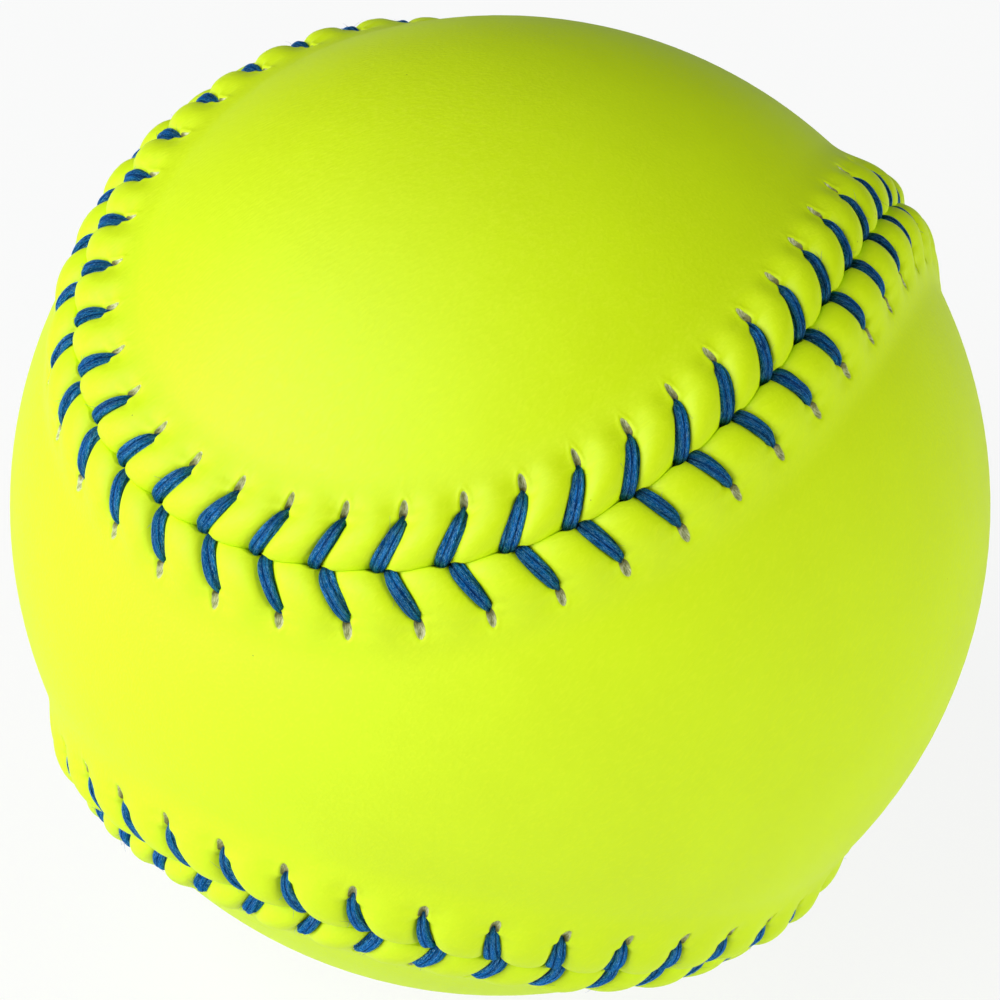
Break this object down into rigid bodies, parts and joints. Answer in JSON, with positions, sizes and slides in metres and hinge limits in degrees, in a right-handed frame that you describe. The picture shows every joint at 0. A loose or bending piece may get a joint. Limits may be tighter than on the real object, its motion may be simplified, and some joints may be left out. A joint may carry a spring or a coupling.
{
  "type": "softball",
  "caption": "Solid ball with a moulded core under figure-eight leather panels, joined by a raised seam of V-shaped thread stitches.",
  "frame": {"origin": "centre of the ball", "axes": "+Z through the middle of one lobe of panel A, -Y through the middle of the neck of panel B, so +Y is the axis of the seam's own symmetry"},
  "size_m": [0.0962, 0.0964, 0.0962],
  "materials": {
    "core": "moulded polyurethane foam, fine closed skin",
    "cover": "optic yellow synthetic leather with a fine pebble grain",
    "thread": "waxed blue thread of several plies"
  },
  "bodies": {
    "root": {"core": "core", "cover_panel_a": "cover", "cover_panel_b": "cover", "stitch_thread_1": "thread", "stitch_thread_2": "thread"}
  },
  "joints": []
}
